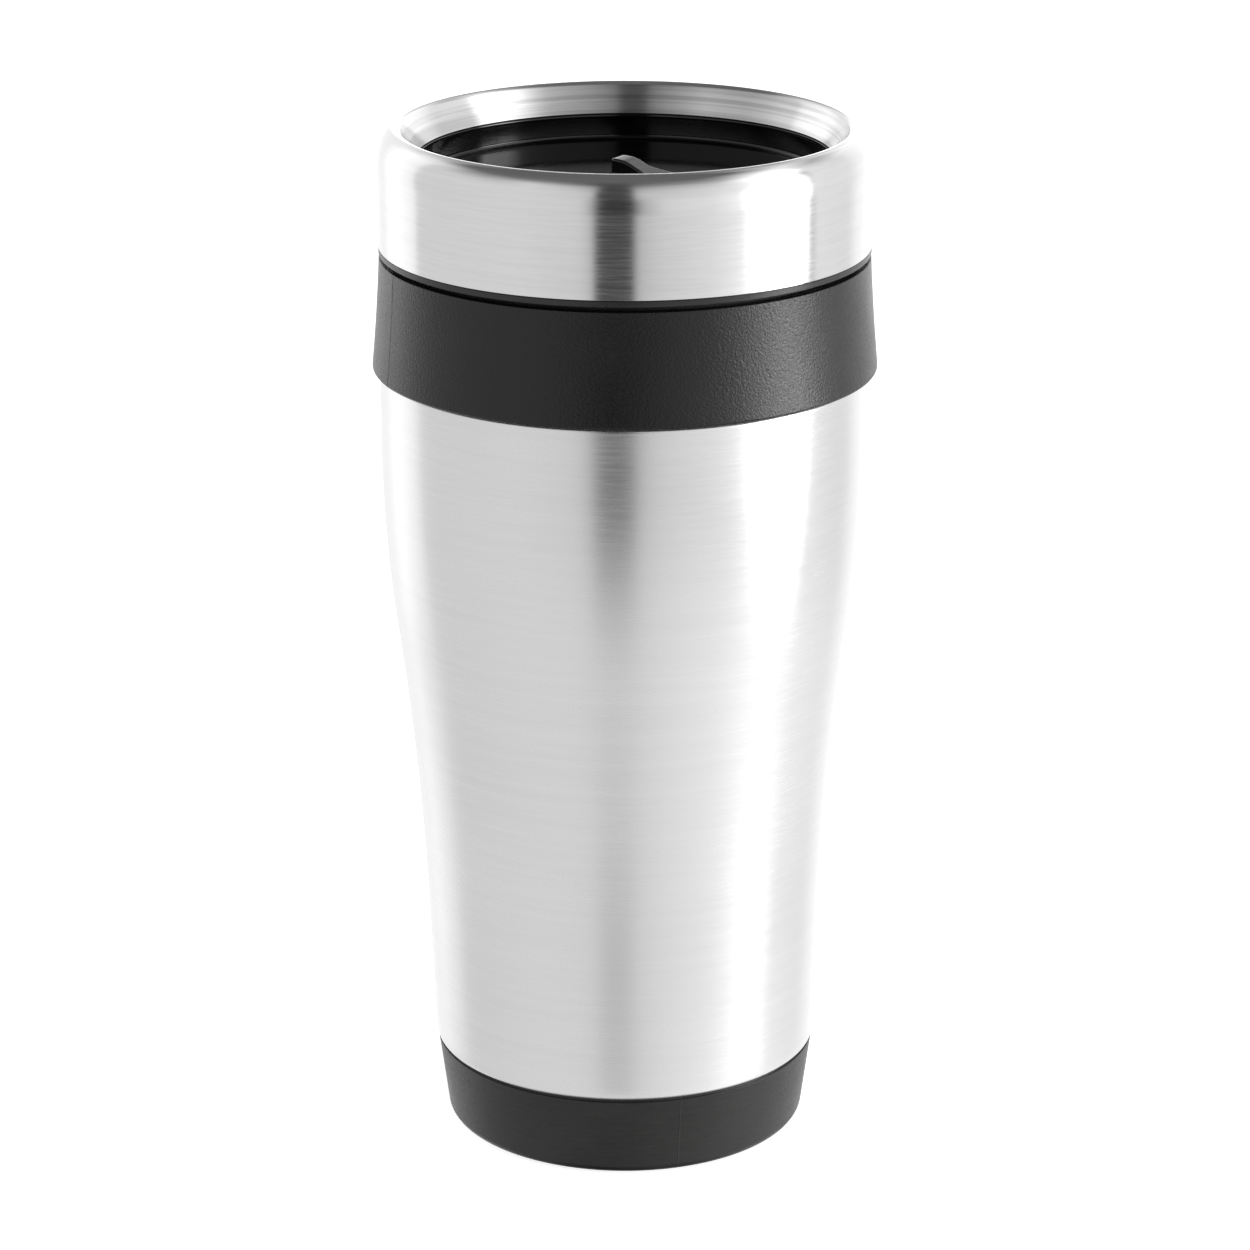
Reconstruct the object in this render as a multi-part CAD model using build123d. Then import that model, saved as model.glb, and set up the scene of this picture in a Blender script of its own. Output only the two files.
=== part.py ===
from build123d import *
import os
from math import atan2, cos, degrees, radians, sin, tan

# Insulated travel mug: a steel-clad tumbler with a plastic liner, a screw-on lid in a
# steel ring, and a swivelling closure lever over the drinking hole.
# Millimetres. Z is up, the origin is the centre of the foot, and the drinking hole
# is on the +X side. Outlines are (radius, height) points turned about Z.

# ---- Driving dimensions ----------------------------------------------------------
FIT = 0.05                    # running gap, on the radius
GAP = 0.3                     # clearance between parts that turn past each other

# steel shell
SHELL_SHEET = 0.5
BODY_RADIUS = 41.28           # straight neck of the shell, under the grip band
BAND_RADIUS = 42.55           # lower edge of the grip band
BASE_TOP = 15.0               # joint between shell and base cap
TAPER_TOP = 40.0              # the shell tapers straight up to here
FLARE_TOP = 90.0              # then flares out to here
CROWN_TOP = 124.0             # and rounds over into the straight neck here
TAPER_SLOPE = 0.0445          # radius gained per mm of height on the taper
FLARE_SLOPE = 0.138           # the same where the flare is steepest
SHOULDER = 135.9              # the shell steps in here to take the grip band
NECK_RADIUS = 39.6            # shell inside the grip band
NECK_TOP = 152.5

# liner
LINER_WALL = 1.9
LINER_FLOOR = 11.0            # height of the inside of the floor
LINER_TOP_RADIUS = 38.55      # outside, at the top of its taper
LINER_BASE_RADIUS = 30.5      # outside, at the shell joint
RIM_FLANGE = 153.2            # underside of the liner's rim flange
RIM_TOP = 154.4
BORE_RADIUS = 36.6            # neck bore that takes the lid
BORE_BOTTOM = 141.0

# screw thread between lid and liner
THREAD_LEAD = 6.0
THREAD_TURNS = 1.25
THREAD_DEPTH = 1.1
THREAD_ROOT_WIDTH = 2.4
THREAD_CREST_WIDTH = 1.2
THREAD_START = 144.6          # middle of the lid's thread where it starts
THREAD_STEP = 2.35            # height of the liner's thread above the lid's

# grip band and base
BAND_TOP = 155.0
BASE_FOOT_RADIUS = 31.7
BASE_CAP_RADIUS = 33.05
FOOT_LIFT = 0.3               # the pad stands proud of the cap's foot
PAD_RADIUS = 27.0
PAD_THICKNESS = 2.0

# lid
GASKET_THICKNESS = 1.36
PLAY = 0.02                   # face gap each side of the gasket
FLANGE_BOTTOM = RIM_TOP + GASKET_THICKNESS + 2 * PLAY
FLANGE_TOP = 156.85
LID_RADIUS = 41.25
LID_SHEET = 0.6
LID_STRAIGHT_TOP = 170.4      # the steel ring starts to round over here
CREST_RADIUS = 38.2
CREST = 176.7
LIP_RADIUS = 37.5             # where the top and the coned inner wall would meet
LIP_BEND = 1.1                # outside bend of the lip
WELL_RADIUS = 34.6            # the drinking well inside the steel ring
WELL_TOP = 171.6
CONE = atan2(CREST - WELL_TOP, LIP_RADIUS - WELL_RADIUS)      # slope of the ring's inner wall
WELL_FLOOR = 167.2
FLOOR_THICKNESS = 2.0
SKIRT_RADIUS = 35.1           # threaded skirt of the plug
SKIRT_WALL = 1.8
SKIRT_BOTTOM = 142.5
COVER_TOP = 154.0             # inner cover that closes the plug from below
COVER_THICKNESS = 2.0
RIB_COUNT = 12

# drinking hole, vent and pivot
HOLE_X = 23.5
HOLE_WIDTH = 8.0              # along the radius
HOLE_LENGTH = 13.0            # across it
VENT_X = 12.5
VENT_RADIUS = 0.9
PORT_WALL = 1.5
GROMMET_HEIGHT = 1.0
STEM_RADIUS = 3.0
HUB_RADIUS = 6.3
HUB_THICKNESS = 1.45
BOSS_BOTTOM = 161.0
WASHER_THICKNESS = 0.5
SCREW_RADIUS = 1.4
SCREW_HEAD_RADIUS = 2.8
SCREW_HEAD_HEIGHT = 1.7
O_RING_SECTION = 0.9

# closure lever
FIN_WIDTH = 4.0
FIN_BACK = -1.7               # the thumb fin starts just behind the pivot
FIN_TOP = 171.25
PADDLE_RADIUS = 9.5
LEVER_BOTTOM = WELL_FLOOR + 0.25
SEAL_BOTTOM = WELL_FLOOR + 0.15
SEAL_THICKNESS = 0.8
SEAL_EDGE = 1.4               # rim of the lever around the seal
LEVER_TRAVEL = 55.0           # degrees that the lever swings, towards -Y
STOP_CIRCLE = 15.0
STOP_RADIUS = 1.2
LEVER_AT_STOPS = 6.3          # half the lever's width on the stops' circle
STOP_HEIGHT = 1.0


# ---- Helpers ---------------------------------------------------------------------
def standing_face(*lines):
    """Upright face in the XZ plane, bounded by lines that meet end to end."""
    return Plane.XZ * make_face([edge for line in lines for edge in line.edges()])


def turned(*outline):
    """Solid of revolution from a closed outline: points, or edges that meet."""
    if isinstance(outline[0], tuple):
        outline = [Polyline(*outline, close=True)]
    return revolve(standing_face(*outline), Axis.Z)


def sheet(edges, thickness):
    """Sheet metal turned about Z: the edges are its outer skin, drawn upwards."""
    skin = Wire([edge for part in edges for edge in part.edges()])
    outline = skin.offset_2d(thickness, side=Side.LEFT, closed=True)
    return revolve(Plane.XZ * make_face(outline.edges()), Axis.Z)


def disc(radius, bottom, top, x=0.0, y=0.0):
    """Upright cylinder between two heights."""
    return Pos(x, y, bottom) * extrude(Circle(radius), top - bottom)


def tube(outer, inner, bottom, top, x=0.0):
    """Upright round tube between two heights."""
    return disc(outer, bottom, top, x) - disc(inner, bottom, top, x)


def hole_shape(margin=0.0):
    """Outline of the drinking hole, which runs across the lid, grown by a margin."""
    return Pos(HOLE_X, 0) * SlotOverall(HOLE_LENGTH + 2 * margin, HOLE_WIDTH + 2 * margin, 90)


def upright(shape, bottom, top):
    """Prism of a plan outline between two heights."""
    return Pos(0, 0, bottom) * extrude(shape, top - bottom)


def thread_ridge(root_radius, depth, start, turn=0.0):
    """Right-hand trapezoid ridge on a cylinder; a negative depth points inwards.

    Start is the ridge's height at +X if it reached there; it begins at the angle turn.
    """
    bury = 0.3 if depth > 0 else -0.3
    flank = (THREAD_ROOT_WIDTH - THREAD_CREST_WIDTH) / 2 / abs(depth)
    root = THREAD_ROOT_WIDTH / 2 + flank * abs(bury)
    crest = THREAD_CREST_WIDTH / 2
    section = Polyline((-bury, -root), (depth, -crest), (depth, crest), (-bury, root), close=True)
    face = Plane(origin=(root_radius, 0, 0), x_dir=(1, 0, 0), z_dir=(0, -1, 0)) * make_face(section)
    helix = Helix(THREAD_LEAD, THREAD_LEAD * THREAD_TURNS, root_radius)
    ridge = Solid.sweep(face.face(), path=helix.edge(), is_frenet=True)
    return Pos(0, 0, start + THREAD_LEAD * turn / 360) * Rot(0, 0, turn) * ridge


# ---- Cup -------------------------------------------------------------------------
def outer_shell():
    """Spun stainless shell: straight taper, soft flare, straight neck, stepped-in rim."""
    taper = degrees(TAPER_SLOPE)
    flare = degrees(FLARE_SLOPE)
    flare_radius = (FLARE_TOP - TAPER_TOP) / (sin(FLARE_SLOPE) - sin(TAPER_SLOPE))
    crown_radius = (CROWN_TOP - FLARE_TOP) / sin(FLARE_SLOPE)
    crown_gain = crown_radius * (1 - cos(FLARE_SLOPE))
    flare_gain = flare_radius * (cos(TAPER_SLOPE) - cos(FLARE_SLOPE))
    taper_end = BODY_RADIUS - crown_gain - flare_gain
    bottom = taper_end - (TAPER_TOP - BASE_TOP) * tan(TAPER_SLOPE)
    bend = 0.8
    side = Line((bottom, BASE_TOP), (taper_end, TAPER_TOP))
    hollow = JernArc(side @ 1, side % 1, flare_radius, taper - flare)
    crown = JernArc(hollow @ 1, hollow % 1, crown_radius, flare)
    neck = Line(crown @ 1, (BODY_RADIUS, SHOULDER - bend))
    turn_in = JernArc(neck @ 1, (0, 1), bend, 90)
    step = Line(turn_in @ 1, (NECK_RADIUS + bend, SHOULDER))
    turn_up = JernArc(step @ 1, (-1, 0), bend, -90)
    rim = Line(turn_up @ 1, (NECK_RADIUS, NECK_TOP))
    return sheet([side, hollow, crown, neck, turn_in, step, turn_up, rim], SHELL_SHEET)


def liner_radius(height):
    """Outside radius of the liner's straight taper."""
    slope = (LINER_TOP_RADIUS - LINER_BASE_RADIUS) / (150.0 - BASE_TOP)
    return LINER_BASE_RADIUS + slope * (height - BASE_TOP)


def inner_liner():
    """Moulded liner: tapered cup, threaded neck bore, and a rim flange over the shell."""
    base = LINER_FLOOR - LINER_WALL
    outside = FilletPolyline((0, base), (liner_radius(base), base),
                             (liner_radius(RIM_FLANGE), RIM_FLANGE), radius=8)
    neck_top = [(liner_radius(RIM_FLANGE), RIM_FLANGE), (NECK_RADIUS, RIM_FLANGE),
                (NECK_RADIUS, RIM_TOP), (BORE_RADIUS + 0.5, RIM_TOP), (BORE_RADIUS, RIM_TOP - 0.5),
                (BORE_RADIUS, BORE_BOTTOM), (liner_radius(BORE_BOTTOM) - LINER_WALL, BORE_BOTTOM - 0.6)]
    inside = FilletPolyline(neck_top[-1], (liner_radius(LINER_FLOOR) - LINER_WALL, LINER_FLOOR),
                            (0, LINER_FLOOR), radius=6.5)
    cup = turned(outside, Polyline(*neck_top), inside, Line((0, LINER_FLOOR), (0, base)))
    start = THREAD_START + THREAD_STEP - THREAD_LEAD
    depth = BORE_RADIUS - SKIRT_RADIUS - THREAD_DEPTH / 2
    return cup + thread_ridge(BORE_RADIUS, -depth, start, 90)


def grip_band():
    """Soft-touch collar round the neck, thicker at its lower edge."""
    inner = NECK_RADIUS + FIT
    bottom = SHOULDER + FIT
    hollow = ThreePointArc((BAND_RADIUS, bottom + 0.5), (41.7, 146.3), (41.25, BAND_TOP - 0.3))
    lower = Polyline(hollow @ 0, (BAND_RADIUS - 0.35, bottom), (NECK_RADIUS + 0.95, bottom),
                     (inner, bottom + 0.9), (inner, BAND_TOP), (40.95, BAND_TOP), hollow @ 1)
    return turned(hollow, lower)


def rim_seal():
    """Silicone ring between the top edge of the shell and the liner's flange."""
    return tube(NECK_RADIUS - FIT, liner_radius(RIM_FLANGE) + FIT, NECK_TOP, RIM_FLANGE)


def base_cap():
    """Moulded boot that plugs into the shell and carries the foot of the liner."""
    wall = 2.2
    floor = 2.0
    plug = 32.72
    plug_top = 22.0
    groove = (17.6, 19.2)
    outline = turned(
        (0, PAD_THICKNESS), (PAD_RADIUS + 0.2, PAD_THICKNESS), (PAD_RADIUS + 0.2, FOOT_LIFT),
        (BASE_FOOT_RADIUS - 2, FOOT_LIFT), (BASE_FOOT_RADIUS, FOOT_LIFT + 2),
        (BASE_CAP_RADIUS, BASE_TOP - 0.35), (BASE_CAP_RADIUS - 0.3, BASE_TOP - FIT),
        (plug, BASE_TOP - FIT), (plug, groove[0]), (plug - 1.0, groove[0]), (plug - 1.0, groove[1]),
        (plug, groove[1]), (plug, plug_top - 0.6), (plug - 0.6, plug_top), (plug - 1.7, plug_top),
        (plug - 1.7, BASE_TOP - 1), (BASE_FOOT_RADIUS - wall, PAD_THICKNESS + floor),
        (0, PAD_THICKNESS + floor))
    foot_edge = outline.edges().filter_by(GeomType.CIRCLE).filter_by(
        lambda edge: abs(edge.radius - (BASE_FOOT_RADIUS - 2)) < 1e-6
        or abs(edge.radius - BASE_FOOT_RADIUS) < 1e-6)
    cap = fillet(foot_edge, 1.6)
    seat = LINER_FLOOR - LINER_WALL
    ribs = tube(18.0, 16.4, PAD_THICKNESS + floor, seat)
    for turn in range(0, 360, 45):
        rib = Pos(16.2, 0, PAD_THICKNESS + floor) * Box(7, 1.6, seat - PAD_THICKNESS - floor,
                                                      align=(Align.MIN, Align.CENTER, Align.MIN))
        ribs += Rot(0, 0, turn) * rib
    return cap + ribs


def base_seal():
    """O-ring in the base cap's groove, against the inside of the shell."""
    return turned((31.75, 17.7), (32.76, 17.7), (32.76, 19.1), (31.75, 19.1))


def base_pad():
    """Round non-slip pad under the foot, with ring grooves in its underside."""
    pad = disc(PAD_RADIUS, 0, PAD_THICKNESS)
    for radius in (18.0, 21.0, 24.0):
        pad -= tube(radius + 0.5, radius - 0.5, -1, 0.5)
    return pad


# ---- Gasket ----------------------------------------------------------------------
def lid_gasket():
    """Flat silicone ring that the lid presses on the liner's rim."""
    bottom = RIM_TOP + PLAY
    return tube(38.9, SKIRT_RADIUS + 0.45, bottom, bottom + GASKET_THICKNESS)


# ---- Lid -------------------------------------------------------------------------
def ring_skin(inset):
    """One skin of the steel ring: side, elliptical shoulder, crest, lip and coned inner wall."""
    radius = LID_RADIUS - inset
    side = Line((radius, FLANGE_TOP), (radius, LID_STRAIGHT_TOP))
    shoulder = EllipticalCenterArc((CREST_RADIUS, LID_STRAIGHT_TOP), radius - CREST_RADIUS,
                                   CREST - inset - LID_STRAIGHT_TOP, start_angle=0, arc_size=90)
    corner = LIP_RADIUS + inset * tan(CONE / 2)
    lip = FilletPolyline((CREST_RADIUS, CREST - inset), (corner, CREST - inset),
                         (WELL_RADIUS + inset / sin(CONE), WELL_TOP), radius=LIP_BEND - inset)
    return Curve() + [side, shoulder, lip]


def lid_steel_ring():
    """Formed steel trim ring, one sheet thick."""
    outer = ring_skin(0)
    inner = ring_skin(LID_SHEET)
    hem = Line((LID_RADIUS, FLANGE_TOP), (LID_RADIUS - LID_SHEET, FLANGE_TOP))
    edge = Line((WELL_RADIUS, WELL_TOP), (WELL_RADIUS + LID_SHEET / sin(CONE), WELL_TOP))
    return turned(outer, hem, inner, edge)


def lid_bowl():
    """Upper moulding: the drinking well, its hole and vent, the pivot boss and two stops."""
    underside = WELL_FLOOR - FLOOR_THICKNESS
    top = WELL_TOP - 0.1
    outer = WELL_RADIUS + 2
    well = FilletPolyline((WELL_RADIUS + 0.1, top), (WELL_RADIUS, WELL_FLOOR), (0, WELL_FLOOR),
                          radius=0.8)
    rest = Polyline((0, WELL_FLOOR), (0, underside), (outer, underside), (outer, top), well @ 0)
    bowl = turned(well, rest)
    bowl += disc(HUB_RADIUS + 2.2, underside - 1.2, underside)
    bowl += disc(STEM_RADIUS + 2.6, BOSS_BOTTOM, underside)
    bowl -= disc(HUB_RADIUS + GAP, WELL_FLOOR - HUB_THICKNESS - 0.15, WELL_FLOOR + 1)
    bowl -= disc(STEM_RADIUS + 0.12, BOSS_BOTTOM - 1, WELL_FLOOR)
    bowl -= upright(hole_shape(), underside - 1, WELL_FLOOR + 1)
    bowl -= disc(VENT_RADIUS, underside - 1, WELL_FLOOR + 1, VENT_X)
    for angle in stop_angles():
        x = STOP_CIRCLE * cos(radians(angle))
        y = STOP_CIRCLE * sin(radians(angle))
        stop = disc(STOP_RADIUS, WELL_FLOOR - 0.5, WELL_FLOOR + STOP_HEIGHT, x, y)
        bowl += fillet(stop.edges().group_by(Axis.Z)[-1], 0.35)
    on_floor = bowl.edges().filter_by_position(Axis.Z, WELL_FLOOR - 0.01, WELL_FLOOR + 0.01)
    middle = Vector(HOLE_X, 0, WELL_FLOOR)
    hole_rim = on_floor.filter_by(lambda edge: (edge.center() - middle).length < HOLE_LENGTH / 2 + 0.1)
    return fillet(hole_rim, 0.6)


def lid_plug():
    """Lower moulding: threaded skirt, flange, spigot for the steel ring, and ribs."""
    inner = SKIRT_RADIUS - SKIRT_WALL
    top = WELL_FLOOR - FLOOR_THICKNESS
    spigot = LID_RADIUS - LID_SHEET - FIT
    plug = turned(
        (inner, SKIRT_BOTTOM),
        (SKIRT_RADIUS - 0.5, SKIRT_BOTTOM), (SKIRT_RADIUS, SKIRT_BOTTOM + 0.5),
        (SKIRT_RADIUS, FLANGE_BOTTOM), (LID_RADIUS - 0.08, FLANGE_BOTTOM),
        (LID_RADIUS, FLANGE_BOTTOM + 0.08), (LID_RADIUS, FLANGE_TOP - 0.14),
        (LID_RADIUS - 0.14, FLANGE_TOP), (spigot, FLANGE_TOP),
        (spigot, FLANGE_TOP + 2), (spigot - 1.3, FLANGE_TOP + 2), (spigot - 1.3, FLANGE_TOP),
        (SKIRT_RADIUS, FLANGE_TOP), (SKIRT_RADIUS, top), (inner, top))
    plug += thread_ridge(SKIRT_RADIUS, THREAD_DEPTH, THREAD_START)
    rib = Pos(SKIRT_RADIUS - 0.2, 0, FLANGE_TOP - 0.2) * Box(
        spigot - SKIRT_RADIUS - 0.5, 1.2, top - FLANGE_TOP, align=(Align.MIN, Align.CENTER, Align.MIN))
    for index in range(RIB_COUNT):
        plug += Rot(0, 0, index * 360 / RIB_COUNT) * rib
    return plug


def lid_inner_cover():
    """Disc that closes the plug from below, with the drinking port and the vent tube."""
    top = WELL_FLOOR - FLOOR_THICKNESS
    cover = disc(SKIRT_RADIUS - SKIRT_WALL - FIT, COVER_TOP - COVER_THICKNESS, COVER_TOP)
    cover += upright(hole_shape(PORT_WALL), COVER_TOP - 1, top - GROMMET_HEIGHT)
    cover -= upright(hole_shape(), COVER_TOP - COVER_THICKNESS - 1, top)
    cover += disc(VENT_RADIUS + 1.3, COVER_TOP - 1, top, VENT_X)
    return cover - disc(VENT_RADIUS, COVER_TOP - COVER_THICKNESS - 1, top + 1, VENT_X)


def drink_port_grommet():
    """Silicone ring that seals the drinking port to the underside of the well."""
    top = WELL_FLOOR - FLOOR_THICKNESS
    return upright(hole_shape(PORT_WALL) - hole_shape(), top - GROMMET_HEIGHT, top)


# ---- Lever -----------------------------------------------------------------------
def lever_plan(inset=0.0):
    """Plan of the lever: a narrow fin that widens into a round paddle over the hole."""
    paddle = Pos(HOLE_X, 0) * Circle(PADDLE_RADIUS - inset)
    waist = Pos(FIN_BACK + 5.7, 0) * Circle(FIN_WIDTH / 2 - inset)
    web = make_hull(paddle.edges() + waist.edges())
    fin = Pos((FIN_BACK + 4) / 2, 0) * Rectangle(4 - FIN_BACK, FIN_WIDTH - 2 * inset)
    return web + fin


def swivel_lever():
    """Closure lever: S-curved thumb fin, paddle, flush hub disc and pivot stem."""
    crest = Spline((FIN_BACK + 0.7, FIN_TOP), (1.4, 170.75), (3.8, 169.62), (8.0, 168.75),
                   (14.0, 168.8), (HOLE_X, 169.5), (HOLE_X + PADDLE_RADIUS + 0.5, 169.0))
    back = ThreePointArc((FIN_BACK, FIN_TOP - 0.7), (FIN_BACK + 0.2, FIN_TOP - 0.18), crest @ 0)
    rest = Polyline(crest @ 1, (HOLE_X + PADDLE_RADIUS + 0.5, LEVER_BOTTOM), (FIN_BACK, LEVER_BOTTOM),
                    back @ 0)
    blade = extrude(standing_face(crest, back, rest), PADDLE_RADIUS + 1, both=True)
    lever = upright(lever_plan(), LEVER_BOTTOM, FIN_TOP + 1) & blade
    lever -= seal_shape(LEVER_BOTTOM - 1)
    hub_bottom = WELL_FLOOR - HUB_THICKNESS
    lever += upright(lever_plan() & Circle(HUB_RADIUS), hub_bottom + 0.2, LEVER_BOTTOM + 0.6)
    lever += disc(HUB_RADIUS, hub_bottom, WELL_FLOOR)
    stem_bottom = BOSS_BOTTOM - 0.2
    lever += disc(STEM_RADIUS, stem_bottom, hub_bottom + 0.5)
    lever -= tube(STEM_RADIUS + 1, STEM_RADIUS - O_RING_SECTION + 0.05, 163.3, 164.3)
    return lever - disc(SCREW_RADIUS + FIT, stem_bottom - 1, 168.0)


def seal_shape(bottom):
    """Pad outline under the lever, from beside the vent to the far side of the hole."""
    plan = lever_plan() & Pos(HOLE_X - 1.6, 0) * Rectangle(24.4, 30)
    return upright(offset(plan, -SEAL_EDGE), bottom, SEAL_BOTTOM + SEAL_THICKNESS)


def drink_seal():
    """Silicone pad let into the underside of the lever; it closes the hole and the vent."""
    return seal_shape(SEAL_BOTTOM)


def pivot_o_ring():
    """O-ring on the pivot stem."""
    section = O_RING_SECTION / 2
    centre = STEM_RADIUS + 0.07 - section
    return Pos(0, 0, 163.8) * Torus(centre, section)


def pivot_spring_washer():
    """Washer that holds the lever down against the boss."""
    top = BOSS_BOTTOM - 0.2
    return tube(5.2, SCREW_RADIUS + 0.15, top - WASHER_THICKNESS, top)


def pivot_screw():
    """Pan-head screw up into the lever's stem, with a cross recess."""
    seat = BOSS_BOTTOM - 0.2 - WASHER_THICKNESS
    head_bottom = seat - SCREW_HEAD_HEIGHT
    head = turned((0, head_bottom), (SCREW_HEAD_RADIUS - 0.7, head_bottom),
                  (SCREW_HEAD_RADIUS, head_bottom + 0.7), (SCREW_HEAD_RADIUS, seat),
                  (SCREW_RADIUS, seat), (SCREW_RADIUS, 167.0), (SCREW_RADIUS - 0.5, 167.6), (0, 167.6))
    for turn in (0, 90):
        head -= Pos(0, 0, head_bottom) * Rot(0, 0, turn) * Box(3.2, 0.7, 2.0)
    return head


def stop_angles():
    """Directions of the two stops that end the lever's swing."""
    clear = degrees((LEVER_AT_STOPS + STOP_RADIUS + GAP) / STOP_CIRCLE)
    return clear, -LEVER_TRAVEL - clear


# ---- Output ----------------------------------------------------------------------
PARTS = (outer_shell, inner_liner, grip_band, rim_seal, base_cap, base_seal, base_pad,
         lid_gasket, lid_steel_ring, lid_bowl, lid_plug, lid_inner_cover, drink_port_grommet,
         swivel_lever, drink_seal, pivot_o_ring, pivot_spring_washer, pivot_screw)

os.makedirs("parts", exist_ok=True)
for make in PARTS:
    export_step(make(), f"parts/{make.__name__}.step")
    print(make.__name__)
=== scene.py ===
import math

import bmesh
import bpy
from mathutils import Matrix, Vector


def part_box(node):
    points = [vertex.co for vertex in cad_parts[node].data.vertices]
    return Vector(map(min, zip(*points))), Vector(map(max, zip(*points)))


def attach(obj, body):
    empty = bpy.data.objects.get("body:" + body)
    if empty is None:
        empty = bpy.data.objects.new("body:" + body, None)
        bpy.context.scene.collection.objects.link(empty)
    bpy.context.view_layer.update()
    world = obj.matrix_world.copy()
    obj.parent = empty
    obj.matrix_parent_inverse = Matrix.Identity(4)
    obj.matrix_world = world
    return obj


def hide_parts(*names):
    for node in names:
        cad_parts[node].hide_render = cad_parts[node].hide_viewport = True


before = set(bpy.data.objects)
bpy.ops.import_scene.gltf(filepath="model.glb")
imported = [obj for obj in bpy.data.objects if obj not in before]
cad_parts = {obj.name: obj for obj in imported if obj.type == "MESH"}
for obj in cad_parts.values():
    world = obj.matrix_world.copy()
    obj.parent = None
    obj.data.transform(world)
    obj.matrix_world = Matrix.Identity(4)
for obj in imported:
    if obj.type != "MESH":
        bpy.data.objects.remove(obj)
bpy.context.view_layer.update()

MM = 0.001
ROUND = 288                       # segments round the mug's own turned pieces
WELL_RADIUS = 34.6                # the drinking well, in millimetres
CAMERA_SIDE = 32.0                # degrees that the camera stands round from -Y towards +X


# ---- Outlines of turned pieces: points are (radius, height) in millimetres -------
def box_mm(node):
    """Lowest height, highest height and outer radius of a turned CAD node."""
    low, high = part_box(node)
    return low.z / MM, high.z / MM, high.x / MM


def arc(centre, radii, start, end, steps):
    """Points of an elliptical arc between two angles in degrees."""
    points = []
    for step in range(steps + 1):
        angle = math.radians(start + (end - start) * step / steps)
        points.append((centre[0] + radii[0] * math.cos(angle),
                       centre[1] + radii[1] * math.sin(angle)))
    return points


def rounded(corners, steps):
    """Outline through (radius, height, bend) corners, each bend a true fillet."""
    points = []
    count = len(corners)
    for index, (x, y, bend) in enumerate(corners):
        corner = Vector((x, y))
        if bend <= 0:
            points.append((x, y))
            continue
        before = (Vector(corners[index - 1][:2]) - corner).normalized()
        after = (Vector(corners[(index + 1) % count][:2]) - corner).normalized()
        half = before.angle(after) / 2
        reach = bend / math.tan(half)
        centre = corner + (before + after).normalized() * (bend / math.sin(half))
        first = corner + before * reach - centre
        last = corner + after * reach - centre
        for step in range(steps + 1):
            blend = first.lerp(last, step / steps).normalized() * bend
            points.append(tuple(centre + blend))
    return points


def between(first, last, t):
    """Value part way from first to last."""
    return first + (last - first) * t


# ---- Meshes ----------------------------------------------------------------------
def mould_lines(turn):
    """Where a two-part mould leaves its lines: one that many degrees round from the camera's
    side, and one opposite."""
    return (CAMERA_SIDE - 90 + turn, CAMERA_SIDE + 90 + turn)


def ridge_lift(angle, ridges, height, width):
    """How far fine mould lines stand out at an angle."""
    lift = 0.0
    for ridge in ridges:
        away = abs((angle - math.radians(ridge) + math.pi) % (2 * math.pi) - math.pi)
        lift = max(lift, height * max(0.0, 1 - away / width))
    return lift


def lathe(name, outline, ridges=(), ridge_height=0.0):
    """Closed turned mesh. Ridges are angles in degrees where a fine mould line stands out on
    the outside."""
    angles = [2 * math.pi * index / ROUND for index in range(ROUND)]
    ridge_width = math.radians(0.22)
    for ridge in ridges:
        middle = math.radians(ridge) % (2 * math.pi)
        angles += [(middle + step * ridge_width) % (2 * math.pi) for step in (-2, -1, 0, 1, 2)]
    angles = sorted(set(angles))
    bore_wall = 0.6               # the inside stays clear of mould lines, to this depth
    unmarked = min(point[0] for point in outline) + bore_wall
    mesh = bpy.data.meshes.new(name)
    made = bmesh.new()
    rings = []
    for angle in angles:
        lift = ridge_lift(angle, ridges, ridge_height, ridge_width)
        ring = []
        for radius, height in outline:
            reach = (radius + lift * min(1.0, max(0.0, radius - unmarked))) * MM
            ring.append(made.verts.new((reach * math.cos(angle), reach * math.sin(angle), height * MM)))
        rings.append(ring)
    size = len(outline)
    for index, ring in enumerate(rings):
        following = rings[(index + 1) % len(rings)]
        for point in range(size):
            after = (point + 1) % size
            made.faces.new((ring[point], following[point], following[after], ring[after]))
    return finished(name, mesh, made, 35)


def finished(name, mesh, made, sharp):
    """Turn a bmesh into a smooth-shaded object, creased where it bends by more than sharp
    degrees."""
    made.normal_update()
    bmesh.ops.recalc_face_normals(made, faces=made.faces)
    limit = math.radians(sharp)
    for edge in made.edges:
        if len(edge.link_faces) == 2 and edge.calc_face_angle(0) > limit:
            edge.smooth = False
    for face in made.faces:
        face.smooth = True
    made.to_mesh(mesh)
    made.free()
    piece = bpy.data.objects.new(name, mesh)
    bpy.context.scene.collection.objects.link(piece)
    weigh(piece)
    return piece


def weigh(piece):
    """Flat faces keep their normals and the bends between them take the shading."""
    modifier = piece.modifiers.new("normals", "WEIGHTED_NORMAL")
    modifier.keep_sharp = True


def coat(piece, material):
    """Give a piece its one material."""
    piece.data.materials.clear()
    piece.data.materials.append(material)


def place(piece, body, slot, material, *nodes):
    """Put a piece on its body, give it its finish, and hide the CAD nodes it stands for."""
    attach(piece, body)
    if nodes:
        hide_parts(*nodes)
    coat(piece, material)


# ---- Materials -------------------------------------------------------------------
def maths(tree, operation, *values):
    """Math node on plain numbers and other nodes' outputs."""
    made = tree.nodes.new("ShaderNodeMath")
    made.operation = operation
    for index, value in enumerate(values):
        if hasattr(value, "links"):
            tree.links.new(value, made.inputs[index])
        else:
            made.inputs[index].default_value = value
    return made.outputs[0]


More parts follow.
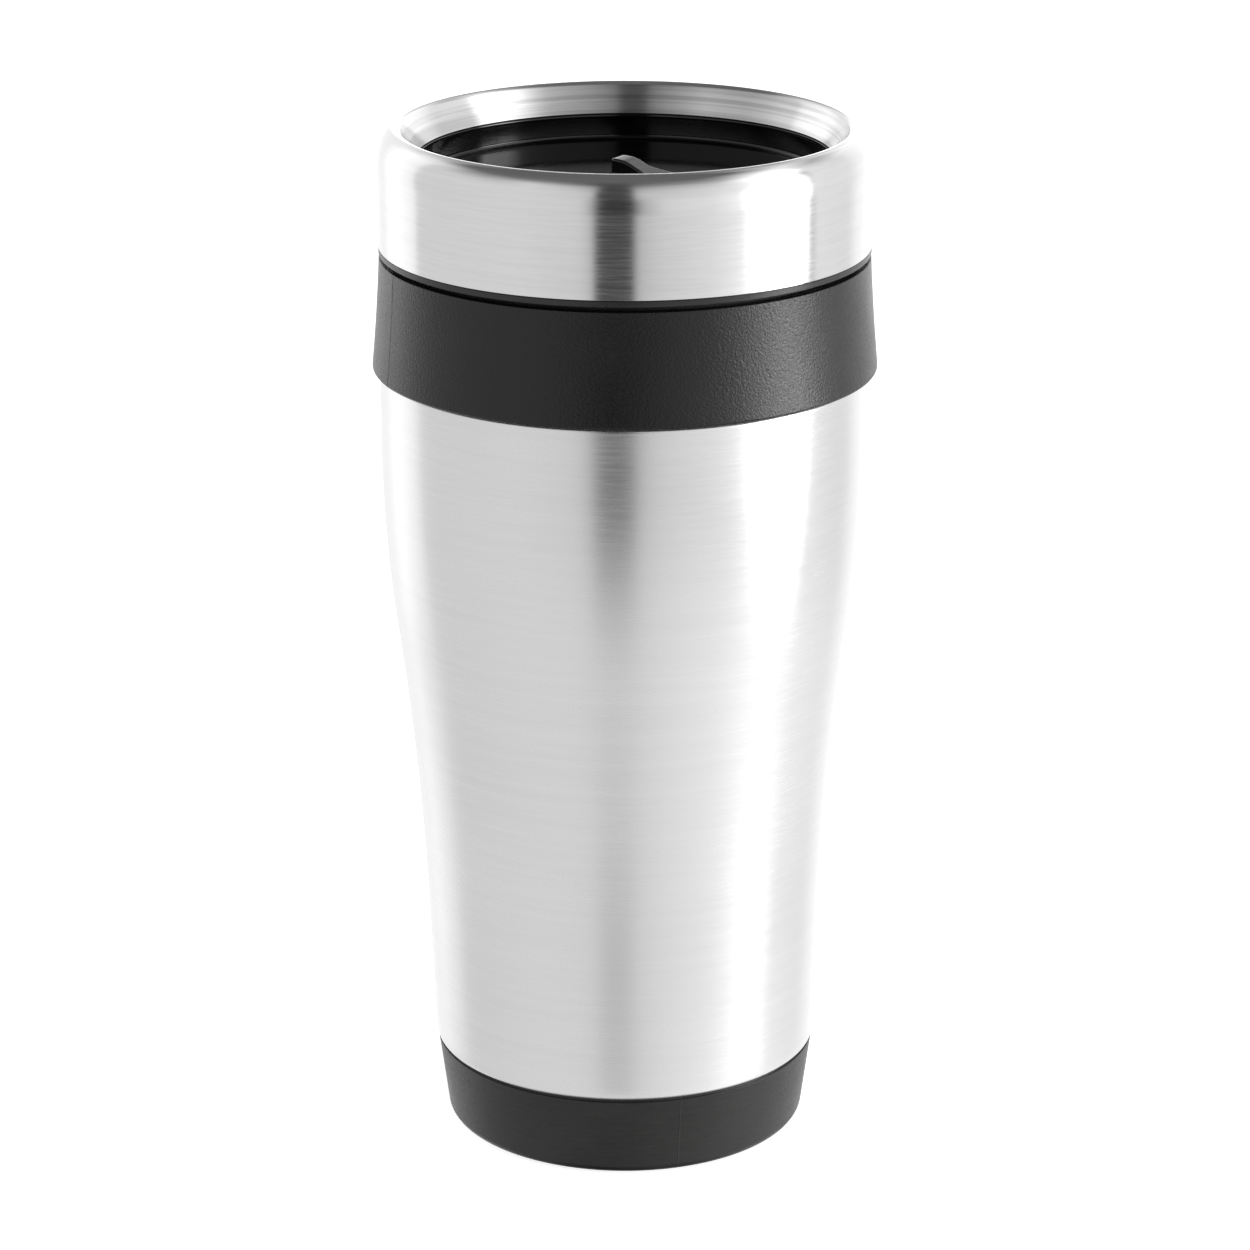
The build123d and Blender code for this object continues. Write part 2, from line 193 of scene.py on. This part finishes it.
class Nodes:
    """Short spelling for building a material's nodes."""

    def __init__(self, name):
        self.material = bpy.data.materials.new(name)
        self.material.use_nodes = True
        self.tree = self.material.node_tree
        self.shader = self.tree.nodes["Principled BSDF"]
        self.place = self.node("ShaderNodeTexCoord").outputs["Object"]

    def node(self, kind, **settings):
        made = self.tree.nodes.new(kind)
        for key, value in settings.items():
            setattr(made, key, value)
        return made

    def link(self, source, target):
        self.tree.links.new(source, target)

    def add(self, first, second):
        return maths(self.tree, "ADD", first, second)

    def times(self, first, second):
        return maths(self.tree, "MULTIPLY", first, second)

    def split(self):
        made = self.node("ShaderNodeSeparateXYZ")
        self.link(self.place, made.inputs[0])
        return made.outputs

    def radius(self):
        """Distance from the mug's axis."""
        x, y, z = self.split()
        return maths(self.tree, "SQRT", self.add(self.times(x, x), self.times(y, y)))

    def stretched(self, along, across, lean=-1.0):
        """Coordinates for lines that run round the mug: fine across them, long along them.
        Lean says how much the distance from the axis counts beside the height."""
        x, y, z = self.split()
        height = self.add(z, self.times(self.radius(), lean))
        joined = self.node("ShaderNodeCombineXYZ")
        self.link(self.times(x, along), joined.inputs[0])
        self.link(self.times(y, along), joined.inputs[1])
        self.link(self.times(height, across), joined.inputs[2])
        return joined.outputs[0]

    def noise(self, place, scale=1.0, detail=2.0, roughness=0.5):
        made = self.node("ShaderNodeTexNoise")
        self.link(place, made.inputs["Vector"])
        made.inputs["Scale"].default_value = scale
        made.inputs["Detail"].default_value = detail
        made.inputs["Roughness"].default_value = roughness
        return made.outputs["Fac"]

    def spread(self, value, low, high, start=0.3, end=0.7):
        """Map a noise value from start-end to low-high."""
        made = self.node("ShaderNodeMapRange")
        self.link(value, made.inputs["Value"])
        for key, number in zip(("From Min", "From Max", "To Min", "To Max"),
                               (start, end, low, high)):
            made.inputs[key].default_value = number
        return made.outputs["Result"]

    def tint(self, value, dark, light):
        """Mix two colours by a value."""
        made = self.node("ShaderNodeMix", data_type="RGBA")
        self.link(value, made.inputs["Factor"])
        made.inputs["A"].default_value = (*dark, 1)
        made.inputs["B"].default_value = (*light, 1)
        self.link(made.outputs["Result"], self.shader.inputs["Base Color"])

    def bump(self, height, distance, strength):
        made = self.node("ShaderNodeBump")
        made.inputs["Strength"].default_value = strength
        made.inputs["Distance"].default_value = distance
        self.link(height, made.inputs["Height"])
        self.link(made.outputs["Normal"], self.shader.inputs["Normal"])

    def rough(self, value):
        self.link(value, self.shader.inputs["Roughness"])

    def set(self, **values):
        for key, value in values.items():
            self.shader.inputs[key.replace("_", " ")].default_value = value


def grey(level, blue=None):
    """A neutral colour, or a slightly warm one with its own, lower blue."""
    return (level, level, level if blue is None else blue)


def brushed_steel(name, dark, light, rough, anisotropy, line, uneven, inside=None):
    """Stainless brushed round the mug: line is the number of brush lines to a millimetre, and
    uneven how far they change the roughness. Inside is a radius in millimetres within which
    the colour is darker: real coarse turning lines, and painted shade for the well's inner wall."""
    steel = Nodes(name)
    steel.set(Metallic=1.0, Anisotropic=anisotropy, Anisotropic_Rotation=0.25)
    tangent = steel.node("ShaderNodeTangent", direction_type="RADIAL", axis="Z")
    steel.link(tangent.outputs[0], steel.shader.inputs["Tangent"])
    fine = steel.noise(steel.stretched(150, line / MM), detail=2, roughness=0.6)
    bands = steel.noise(steel.stretched(20, 0.9 / MM), detail=2)
    patches = steel.noise(steel.place, scale=38, detail=3)
    streaks = steel.add(steel.times(fine, 0.35), steel.times(bands, 0.3))
    mixed = steel.add(streaks, steel.times(patches, 0.35))
    value = steel.spread(mixed, 0.6, 0.9, 0.38, 0.62)
    if inside:
        # Painted shade: inside this radius the colour is pulled mostly darker than the plain steel,
        # standing in for the shade on the well's inner wall; its stripes are real coarse turning lines.
        wall = steel.spread(steel.radius(), 1, 0, (inside - 0.3) * MM, (inside + 0.1) * MM)
        turning_lines_and_shade = steel.noise(steel.stretched(12, 0.95 / MM, 1.0), detail=1)
        lines = steel.spread(turning_lines_and_shade, -0.85, 0.35, 0.36, 0.64)
        value = steel.add(value, steel.times(wall, lines))
    steel.tint(value, dark, light)
    texture = steel.spread(fine, rough - uneven, rough + uneven)
    steel.rough(steel.add(texture, steel.spread(patches, -0.015, 0.02, 0.35, 0.7)))
    steel.bump(fine, 0.03 * uneven * MM, 0.6)
    return steel.material


def moulded(name, dark, light, rough, grain, depth, streak=0.0, gloss=0.35):
    """Moulded plastic with a spark-eroded grain: its size and depth are in millimetres, and
    streak is the share of it that is drawn out into lines round the mug."""
    plastic = Nodes(name)
    plastic.set(Specular_IOR_Level=gloss)
    pits = plastic.noise(plastic.place, scale=1 / (grain * MM), detail=3, roughness=0.6)
    broad = plastic.noise(plastic.place, scale=60, detail=3)
    lines = plastic.noise(plastic.stretched(220, 2.6 / MM), detail=2)
    streaks = plastic.times(lines, streak)
    marks = plastic.add(plastic.times(broad, 1 - streak), streaks)
    plastic.tint(plastic.spread(marks, 0, 1), dark, light)
    wear = plastic.spread(marks, -0.04, 0.05)
    plastic.rough(plastic.add(plastic.spread(pits, rough - 0.06, rough + 0.07), wear))
    plastic.bump(plastic.add(plastic.times(pits, 1 - streak), streaks), depth * MM, 0.8)
    return plastic.material


def polished(name, dark, light, rough):
    """Polished plastic, with the faint wipe marks and dust of a drinking well."""
    plastic = Nodes(name)
    plastic.set(Specular_IOR_Level=0.4)
    wipes = plastic.noise(plastic.stretched(30, 0.8 / MM), detail=4, roughness=0.65)
    dust = plastic.noise(plastic.place, scale=700, detail=4, roughness=0.7)
    plastic.tint(plastic.spread(dust, 0, 1, 0.5, 0.75), dark, light)
    haze = plastic.spread(wipes, 0.0, 0.12, 0.52, 0.70)
    plastic.rough(plastic.add(plastic.spread(dust, rough, rough + 0.05, 0.4, 0.7), haze))
    plastic.bump(wipes, 0.004 * MM, 0.5)
    return plastic.material


def silicone(name, dark, light):
    """Soft matt silicone with a faint dusty variation."""
    soft = Nodes(name)
    soft.set(Specular_IOR_Level=0.35, Sheen_Weight=0.15, Sheen_Roughness=0.5)
    dust = soft.noise(soft.place, scale=140, detail=4, roughness=0.6)
    soft.tint(soft.spread(dust, 0, 1), dark, light)
    soft.rough(soft.spread(dust, 0.55, 0.7))
    soft.bump(soft.noise(soft.place, scale=2500, detail=2), 0.01 * MM, 0.5)
    return soft.material


BODY_STEEL = brushed_steel("body_steel", grey(0.57), grey(0.69), rough=0.26, anisotropy=0.5,
                           line=3.4, uneven=0.02)
# The lid steel's colour is painted darker inside 37.4 mm: painted shade on the well's inner wall, with
# real turning lines.
LID_STEEL = brushed_steel("lid_steel", grey(0.52), grey(0.70), rough=0.165, anisotropy=0.7,
                          line=4.0, uneven=0.03, inside=37.4)
SMALL_STEEL = brushed_steel("small_steel", grey(0.45), grey(0.56), rough=0.3, anisotropy=0.5,
                            line=8, uneven=0.08)
BAND = moulded("band_plastic", grey(0.0014, 0.0013), grey(0.0030, 0.0029), rough=0.31,
               grain=0.42, depth=0.1)
BASE = moulded("base_plastic", grey(0.0008, 0.0007), grey(0.012, 0.0114), rough=0.40,
               grain=0.5, depth=0.04, streak=0.4)
FLANGE = moulded("flange_plastic", grey(0.010), grey(0.015), rough=0.30, grain=0.3, depth=0.010,
                 streak=0.4)
LINER = moulded("liner_plastic", grey(0.010), grey(0.015), rough=0.38, grain=0.3, depth=0.008)
WELL = polished("lid_plastic", grey(0.0006), grey(0.002), rough=0.07)
LEVER = moulded("lever_plastic", grey(0.004), grey(0.007), rough=0.20, grain=0.35, depth=0.003,
                gloss=0.5)
PAD = silicone("pad_rubber", grey(0.012), grey(0.019))
SILICONE = silicone("silicone", grey(0.010), grey(0.016))


# ---- Turned pieces ---------------------------------------------------------------
def steel_body():
    """The spun shell: taper, flare, crown, straight neck and stepped-in rim."""
    bottom, top, neck = box_mm("outer_shell")
    sheet = 0.5
    taper_top = 40.0
    flare_top = 90.0
    crown_top = 124.0
    shoulder = 135.9
    inner_neck = 39.6
    taper = 0.0445                # slope of the straight taper, in radians
    flare = 0.138                 # steepest slope, where the flare meets the crown
    bend = 0.8                    # radius of the bends where the sheet steps in
    roll = (0.42, 0.85)           # width and height of the rolled lower edge
    crown_bend = (crown_top - flare_top) / math.sin(flare)
    flare_bend = (flare_top - taper_top) / (math.sin(flare) - math.sin(taper))

    def radius(height):
        """Outside radius of the shell below its shoulder."""
        if height >= crown_top:
            return neck
        down = crown_top - max(height, flare_top)
        lost = crown_bend - math.sqrt(crown_bend ** 2 - down ** 2)
        if height < flare_top:
            down = flare_bend * math.sin(flare) - (flare_top - max(height, taper_top))
            lost += math.sqrt(flare_bend ** 2 - down ** 2) - flare_bend * math.cos(flare)
        if height < taper_top:
            lost += (taper_top - height) * math.tan(taper)
        return neck - lost

    steps = 96
    heights = [bottom + (crown_top - bottom) * step / steps for step in range(steps + 1)]
    outside = [(radius(height), height) for height in heights]
    outside[0:1] = arc((outside[0][0] - roll[0], bottom + roll[1]), roll, 270, 360, 8)
    in_centre = (neck - bend, shoulder - bend)
    up_centre = (inner_neck + bend, shoulder + bend)
    step_in = arc(in_centre, (bend, bend), 0, 90, 6)
    step_up = arc(up_centre, (bend, bend), 270, 180, 6)
    rim = [(inner_neck, top), (inner_neck - sheet, top)]
    inner_up = arc(up_centre, (bend + sheet, bend + sheet), 180, 270, 6)
    inner_in = arc(in_centre, (bend - sheet, bend - sheet), 90, 0, 4)
    inside = [(radius(height) - sheet, height) for height in reversed(heights)]
    piece = lathe("steel_body", outside + step_in + step_up + rim + inner_up + inner_in + inside)
    place(piece, "cup", "body_steel", BODY_STEEL, "outer_shell")


def steel_lid_ring():
    """The lid's formed ring: straight side, elliptical shoulder, crest and coned inner wall."""
    bottom, crest, side = box_mm("lid_steel_ring")
    crest_radius = 38.2
    rounding = 170.4              # height where the side turns into the shoulder
    corner = 37.5                 # radius where the crest turns down into the wall
    bend = 1.1
    wall_foot = 171.6
    sheet = 0.6
    chamfer = 0.1
    foot_width = 0.12
    slant = math.atan2(crest - wall_foot, corner - WELL_RADIUS)

    def skin(inset):
        """Side, shoulder, crest and wall, a little inside the ring's outer surface."""
        shoulder = arc((crest_radius, rounding), (side - inset - crest_radius, crest - inset - rounding),
                       0, 90, 26)
        inner = rounded([(*shoulder[-1], 0),
                         (corner + inset * math.tan(slant / 2), crest - inset, bend - inset),
                         (WELL_RADIUS + inset / math.sin(slant), wall_foot, 0)], 14)
        return [(side - inset, bottom)] + shoulder + inner[1:]

    outer = skin(0)
    outer[0:1] = [(side - chamfer, bottom), (side, bottom + chamfer)]
    outer[-1:] = [(WELL_RADIUS + chamfer / math.tan(slant), wall_foot + chamfer),
                  (WELL_RADIUS + foot_width, wall_foot)]
    piece = lathe("steel_lid_ring", outer + list(reversed(skin(sheet))))
    place(piece, "lid", "lid_steel", LID_STEEL, "lid_steel_ring")


def well_lip():
    """Thin bead round the top of the drinking well, just under the steel."""
    well = WELL_RADIUS
    top = 171.5
    outline = rounded([(well + 0.15, top - 0.6, 0), (well - 0.02, top - 0.6, 0),
                       (well - 0.28, top - 0.38, 0.1), (well - 0.22, top - 0.02, 0.1),
                       (well + 0.15, top - 0.02, 0)], 5)
    piece = lathe("well_lip", outline)
    place(piece, "lid", "lid_plastic", WELL)


def grip_collar():
    """The charcoal collar, a soft hollow between its thick lower edge and its top."""
    bottom, top, outer = box_mm("grip_band")
    inner = 39.65
    top_radius = 41.22
    hollow_at = 0.55              # share of the height where the hollow is measured
    hollow_radius = 41.7
    side_low = bottom + 0.5
    side_high = top - 0.35
    straight = between(outer, top_radius, hollow_at)
    depth = (straight - hollow_radius) / (hollow_at * (1 - hollow_at))
    steps = 24
    side = []
    for step in range(1, steps + 1):
        t = step / steps
        radius = between(outer, top_radius, t) - depth * t * (1 - t)
        side.append((radius, between(side_low, side_high, t)))
    foot = rounded([(inner, bottom + 0.9, 0), (inner + 0.9, bottom, 0.1), (outer, bottom, 0.45),
                    (outer, bottom + 1.2, 0)], 6)[:-1]
    head = rounded([(top_radius + 0.01, top - 1.0, 0), (top_radius, top, 0.15), (inner, top, 0.15),
                    (inner, bottom + 2, 0)], 6)[1:-1]
    piece = lathe("grip_collar", foot + side + head, mould_lines(-67.5), 0.05)
    place(piece, "cup", "band_plastic", BAND, "grip_band")


def base_boot():
    """The moulded boot: rounded foot, slight taper, and a plug that goes up into the shell."""
    low, high, outer = box_mm("base_cap")
    joint = 14.95                 # height where the side meets the steel
    foot = 31.7
    wall = 2.2
    pad = 27.2
    pad_roof = 2.0
    plug = 32.72
    plug_wall = 1.7
    inner_floor = 4.0
    pinhole = 0.4                 # left open on the axis, over the pad

    # From the axis: pad recess, rounded foot, side, fine groove under the steel, plug, inside.
    outline = rounded([
        (pinhole, pad_roof, 0), (pad, pad_roof, 0.2), (pad, low, 0.25), (foot - 0.6, low, 1.9),
        (outer - 0.02, joint - 0.27, 0.13), (plug + 0.05, joint - 0.42, 0.03), (plug, joint, 0),
        (plug, high, 0.5), (plug - plug_wall, high, 0.4), (plug - plug_wall, joint - 1, 0.5),
        (foot - wall, inner_floor, 1.0), (pinhole, inner_floor, 0)], 7)
    piece = lathe("base_boot", outline, mould_lines(16.8), 0.045)
    place(piece, "cup", "base_plastic", BASE, "base_cap")


# ---- Lever: its plan lies along X, in millimetres --------------------------------
FIN_BACK = -1.7
FIN_HALF = 2.0
FIN_CORNER = 0.7
WAIST_X = 4.0                     # where the fin begins to widen into the paddle
PADDLE_X = 23.5
PADDLE = 9.5
WEB_LEAN = math.asin((PADDLE - FIN_HALF) / (PADDLE_X - WAIST_X))
EDGE = 0.4                        # rounding of every upper edge

# Top of the fin, the web and the paddle, as (x, height).
CREST_LINE = ((-1.7, 171.22), (-0.6, 171.22), (1.4, 170.92), (3.8, 169.9), (8.0, 168.88),
              (14.0, 168.85), (23.5, 169.5), (33.5, 169.05))


def cubic(knots, x):
    """Height at x on a smooth curve through the knots."""
    last = len(knots) - 1
    index = max(i for i in range(last) if x >= knots[i][0] or i == 0)
    (x0, z0), (x1, z1) = knots[index], knots[index + 1]

    def slope(at):
        before, after = knots[max(at - 1, 0)], knots[min(at + 1, last)]
        return (after[1] - before[1]) / (after[0] - before[0])

    span = x1 - x0
    t = (x - x0) / span
    return (z0 * (1 + 2 * t) * (1 - t) ** 2 + slope(index) * span * t * (1 - t) ** 2
            + z1 * t * t * (3 - 2 * t) + slope(index + 1) * span * t * t * (t - 1))


def blade_half(x):
    """Half the lever's width at x: straight fin, web that widens, round paddle."""
    web_start = WAIST_X - 0.5
    web_end = PADDLE_X - PADDLE * math.sin(WEB_LEAN)
    if x >= web_end:
        return math.sqrt(max(0.0, PADDLE ** 2 - (x - PADDLE_X) ** 2))
    fin = FIN_HALF
    past_corner = FIN_BACK + FIN_CORNER - x
    if past_corner > 0:
        fin -= FIN_CORNER - math.sqrt(max(0.0, FIN_CORNER ** 2 - past_corner ** 2))
    if x < web_start:
        return fin
    return max(fin, PADDLE * math.cos(WEB_LEAN) - (web_end - x) * math.tan(WEB_LEAN))


def blade_inside(x, y):
    """How far a point of the lever's plan is from the nearest edge of the plan."""
    on_web = WAIST_X <= x <= PADDLE_X
    side = (blade_half(x) - abs(y)) * (math.cos(WEB_LEAN) if on_web else 1.0)
    return max(0.0, min(side, x - FIN_BACK, PADDLE - math.hypot(max(x - PADDLE_X, 0), y)))


def blade_top(x):
    """Points (y, height) across the lever's upper side at x, close together on its edges."""
    across = 14
    rim_share = 1 / 2.2           # share of the points that lie on a rounded edge
    half = blade_half(x)
    rim = min(EDGE, half * 0.6)
    points = []
    for step in range(-across, across + 1):
        inset = 1 - abs(step) / across
        on_rim = rim * (1 - math.cos(min(1.0, inset / rim_share) * math.pi / 2))
        past_rim = (half - rim) * max(0.0, inset - rim_share) / (1 - rim_share)
        y = math.copysign(half - on_rim - past_rim, step) if step else 0.0
        inside = min(EDGE, blade_inside(x, y))
        drop = EDGE - math.sqrt(EDGE ** 2 - (EDGE - inside) ** 2)
        points.append((y, cubic(CREST_LINE, x) - drop))
    return points


def lever_blade():
    """The lever's fin and paddle, every upper edge rounded over."""
    low = 167.45
    blunt = 0.004                 # the last row stops this far short of the paddle's end
    fin_front = FIN_BACK + FIN_CORNER
    quarter = math.pi / 2
    stations = [FIN_BACK + FIN_CORNER * (1 - math.cos(quarter * step / 7)) for step in range(7)]
    stations += [between(fin_front, PADDLE_X, step / 70) for step in range(70)]
    stations += [PADDLE_X + PADDLE * math.sin(quarter * step / 26) for step in range(26)]
    stations += [PADDLE_X + PADDLE - blunt]
    mesh = bpy.data.meshes.new("lever_blade")
    made = bmesh.new()
    rows = []
    for x in stations:
        half = blade_half(x)
        section = [(-half, low)] + blade_top(x) + [(half, low)]
        rows.append([made.verts.new((x * MM, y * MM, z * MM)) for y, z in section])
    for first, second in zip(rows, rows[1:]):
        for index in range(len(first)):
            after = (index + 1) % len(first)
            made.faces.new((first[index], second[index], second[after], first[after]))
    made.faces.new(rows[0])
    made.faces.new(list(reversed(rows[-1])))
    piece = finished("lever_blade", mesh, made, 40)
    place(piece, "lever", "lever_plastic", LEVER, "swivel_lever")


def lever_hub():
    """Flush hub disc and grooved pivot stem under the lever."""
    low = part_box("swivel_lever")[0].z / MM
    bore = 1.5
    stem = 3.0
    groove = 2.15                 # for the O-ring
    groove_low = 163.3
    groove_high = 164.3
    disc = 6.3
    disc_low = 165.75
    disc_high = 167.2
    outline = rounded([(bore, low, 0), (stem, low, 0.2), (stem, groove_low, 0), (groove, groove_low, 0),
                       (groove, groove_high, 0), (stem, groove_high, 0), (stem, disc_low, 0),
                       (disc, disc_low, 0), (disc, disc_high, 0.25), (bore, disc_high, 0)], 5)
    piece = lathe("lever_hub", outline)
    place(piece, "lever", "lever_plastic", LEVER)


steel_body()
steel_lid_ring()
well_lip()
grip_collar()
base_boot()
lever_blade()
lever_hub()


# ---- CAD nodes that stay, with a finish ------------------------------------------
FINISHES = {
    "inner_liner": LINER,
    "rim_seal": SILICONE,
    "base_seal": SILICONE,
    "base_pad": PAD,
    "lid_gasket": SILICONE,
    "lid_bowl": WELL,
    "lid_plug": FLANGE,
    "lid_inner_cover": FLANGE,
    "drink_port_grommet": SILICONE,
    "drink_seal": SILICONE,
    "pivot_o_ring": SILICONE,
    "pivot_spring_washer": SMALL_STEEL,
    "pivot_screw": SMALL_STEEL,
}
for node_name, finish in FINISHES.items():
    coat(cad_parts[node_name], finish)
    weigh(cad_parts[node_name])


# ---- Studio ----------------------------------------------------------------------
def camera():
    """Long lens, a little above the lid and pitched down to the middle of the mug."""
    distance = 0.7029             # from the mug's axis
    height = 0.3213
    pitch = 18.26
    lens = bpy.data.cameras.new("camera")
    lens.sensor_width = 36.0
    lens.lens = 123.8
    eye = bpy.data.objects.new("camera", lens)
    side = math.radians(CAMERA_SIDE)
    eye.location = (distance * math.sin(side), -distance * math.cos(side), height)
    eye.rotation_euler = (math.radians(90 - pitch), 0, side)
    bpy.context.scene.collection.objects.link(eye)
    bpy.context.scene.camera = eye


def floor():
    """Plain white floor that fills the view, seen but not mirrored in the mug."""
    half = 3.0
    mesh = bpy.data.meshes.new("floor")
    mesh.from_pydata([(-half, -half, 0), (half, -half, 0), (half, half, 0), (-half, half, 0)], [],
                     [(0, 1, 2, 3)])
    plane = bpy.data.objects.new("floor", mesh)
    bpy.context.scene.collection.objects.link(plane)
    plane.visible_glossy = False
    paper = Nodes("floor_paper")
    paper.set(Roughness=0.9, Specular_IOR_Level=0.1, Emission_Strength=0.8)
    paper.shader.inputs["Emission Color"].default_value = (1, 1, 1, 1)
    fibres = paper.noise(paper.place, scale=400, detail=3)
    paper.tint(paper.spread(fibres, 0, 1), grey(0.90), grey(0.93))
    mesh.materials.append(paper.material)


# The studio is a stack of rings of light round the mug. A ring is a list of (bearing, brightness)
# pairs: bearing 0 is towards the camera, and positive bearings are to its right. A tall white
# card stands at the right, with a dark line at its far edge, and there is a dark gap in front,
# where the camera stands.
LEFT_SIDE = ((-150, 1.2), (-136, 1.6), (-118, 1.4), (-113.5, 1.3), (-111, 0.92), (-50, 0.95))
CARD_EDGE = ((95.5, 0.5), (97.5, 0.5), (99, 1.1), (126, 1.0))
FAR_SIDE = ((136, 1.3), (158, 1.5))
WALL_FRONT = ((-24, 0.88), (-15.5, 0.8), (-12.8, 0.08), (2.8, 0.09), (6, 0.8), (26, 0.9), (40, 1.0),
              (56, 1.2), (62, 1.35), (68, 1.6), (86, 1.6), (91, 1.4), (94, 1.0)) + CARD_EDGE
SKIRT_FRONT = ((-24, 0.88), (-16, 0.8), (-12, 0.1), (2, 0.12), (7, 0.8), (26, 0.95), (54, 1.1),
               (62, 1.4), (68, 1.52), (86, 1.52), (92, 1.25)) + CARD_EDGE
CARD_FRONT = ((-20, 0.9), (-15, 0.6), (-12, 0.05), (3, 0.05), (8, 0.6), (18, 0.95), (40, 1.1),
              (54, 1.4), (61, 3.0), (67, 11.0), (71, 16.0), (87, 16.0), (91, 3.0), (94, 0.8),
              (98, 1.1), (126, 1.1))


def room(back_left, front, back_right):
    """A ring at wall height. All of these share their left and far sides."""
    return back_left + LEFT_SIDE + front + FAR_SIDE + back_right


def plain_back(front):
    """A ring at wall height whose back is about as bright as its sides."""
    return room(((-180, 1.05), (-167, 1.15)), front, ((168, 1.4), (180, 1.05)))


# From below the horizon to the ceiling. The card is brightest just above and below the horizon,
# where the back of the room is bright too, and the back is dark above that.
NADIR = ((-180, 0.15), (180, 0.15))
GROUND = ((-180, 1.3), (-165, 1.4), (-153, 1.14), (-120, 1.05), (-105, 0.9), (-60, 0.98),
          (-24, 1.03), (-6, 1.04), (9, 1.06), (33, 1.18), (51, 1.27), (63, 1.42), (75, 1.56),
          (90, 1.45), (105, 1.3), (120, 1.23), (180, 1.3))
SKIRT = plain_back(SKIRT_FRONT)
WALL = plain_back(WALL_FRONT)
CARD = room(((-180, 2.3), (-174, 2.0), (-167, 1.15)), CARD_FRONT, ((168, 1.4), (174, 2.0), (180, 2.3)))
DARK_BACK = room(((-180, 0.22), (-173, 0.24), (-166, 1.1)), WALL_FRONT,
                 ((166, 1.2), (173, 0.24), (180, 0.22)))
UPPER = ((-180, 0.2), (-168, 0.2), (-152, 0.83), (-144, 1.0), (-128, 1.1), (-120, 1.0),
         (-112, 1.0), (-104, 0.75), (-94, 0.5), (-80, 0.5), (-64, 0.7), (-51, 1.0), (-28, 0.8),
         (-16, 0.6), (-12.5, 0.07), (2.6, 0.07), (6, 0.55), (24, 0.7), (50, 0.85), (58, 1.2),
         (66, 1.7), (80, 2.2), (88, 3.2), (98, 3.5), (100.5, 1.0), (108, 0.85), (124, 0.55),
         (144, 0.6), (160, 0.84), (168, 0.5), (176, 0.18))
EAVES = ((-180, 0.15), (-64, 0.19), (-44, 0.21), (-24, 0.15), (-14, 0.09), (0, 0.08), (8, 0.17),
         (24, 0.3), (56, 0.41), (64, 0.57), (72, 0.94), (80, 1.2), (90, 1.4), (108, 1.35),
         (128, 1.2), (144, 1.0), (152, 0.78), (160, 0.45), (168, 0.2), (180, 0.15))
CEILING = ((-180, 0.17), (180, 0.17))

# Each ring with the sine of its height above the horizon, from the lowest up.
RINGS = ((-0.92, NADIR), (-0.74, GROUND), (-0.45, GROUND), (-0.36, SKIRT), (-0.30, WALL),
         (-0.23, WALL), (-0.17, CARD), (0.2, CARD), (0.3, WALL), (0.42, DARK_BACK),
         (0.62, UPPER), (0.76, EAVES), (0.90, CEILING))
BRIGHTEST = 16.0                  # the world's strength, so that each ramp's colours stay under 1


def studio():
    """World light made of the rings, each fading into the next above it."""
    world = bpy.data.worlds.new("studio")
    bpy.context.scene.world = world
    world.use_nodes = True
    tree = world.node_tree
    link = tree.links.new
    background = tree.nodes["Background"]
    split = tree.nodes.new("ShaderNodeSeparateXYZ")
    link(tree.nodes.new("ShaderNodeTexCoord").outputs["Generated"], split.inputs[0])
    x, y, z = split.outputs

    def along(x_part, y_part):
        """How far the view direction goes along a level direction."""
        return maths(tree, "ADD", maths(tree, "MULTIPLY", x, x_part), maths(tree, "MULTIPLY", y, y_part))

    side = math.radians(CAMERA_SIDE)
    right = along(math.cos(side), math.sin(side))
    toward = along(math.sin(side), -math.cos(side))
    bearing = maths(tree, "ARCTAN2", right, toward)
    turn = maths(tree, "ADD", maths(tree, "DIVIDE", bearing, 2 * math.pi), 0.5)

    def ring(stops):
        """Colour ramp round the horizon through a ring's stops."""
        ramp = tree.nodes.new("ShaderNodeValToRGB")
        link(turn, ramp.inputs[0])
        elements = ramp.color_ramp.elements
        elements.remove(elements[-1])
        for index, (degrees, level) in enumerate(stops):
            position = (degrees + 180) / 360
            stop = elements.new(position) if index else elements[0]
            stop.position = position
            stop.color = (level / BRIGHTEST,) * 3 + (1,)
        return ramp.outputs["Color"]

    light = ring(RINGS[0][1])
    for (bottom, _), (top, stops) in zip(RINGS, RINGS[1:]):
        fade = tree.nodes.new("ShaderNodeMapRange")
        link(z, fade.inputs["Value"])
        fade.inputs["From Min"].default_value = bottom
        fade.inputs["From Max"].default_value = top
        mixed = tree.nodes.new("ShaderNodeMix")
        mixed.data_type = "RGBA"
        link(fade.outputs["Result"], mixed.inputs["Factor"])
        link(light, mixed.inputs["A"])
        link(ring(stops), mixed.inputs["B"])
        light = mixed.outputs["Result"]
    link(light, background.inputs["Color"])
    background.inputs["Strength"].default_value = BRIGHTEST


camera()
floor()
studio()
bpy.context.scene.view_settings.view_transform = "Standard"
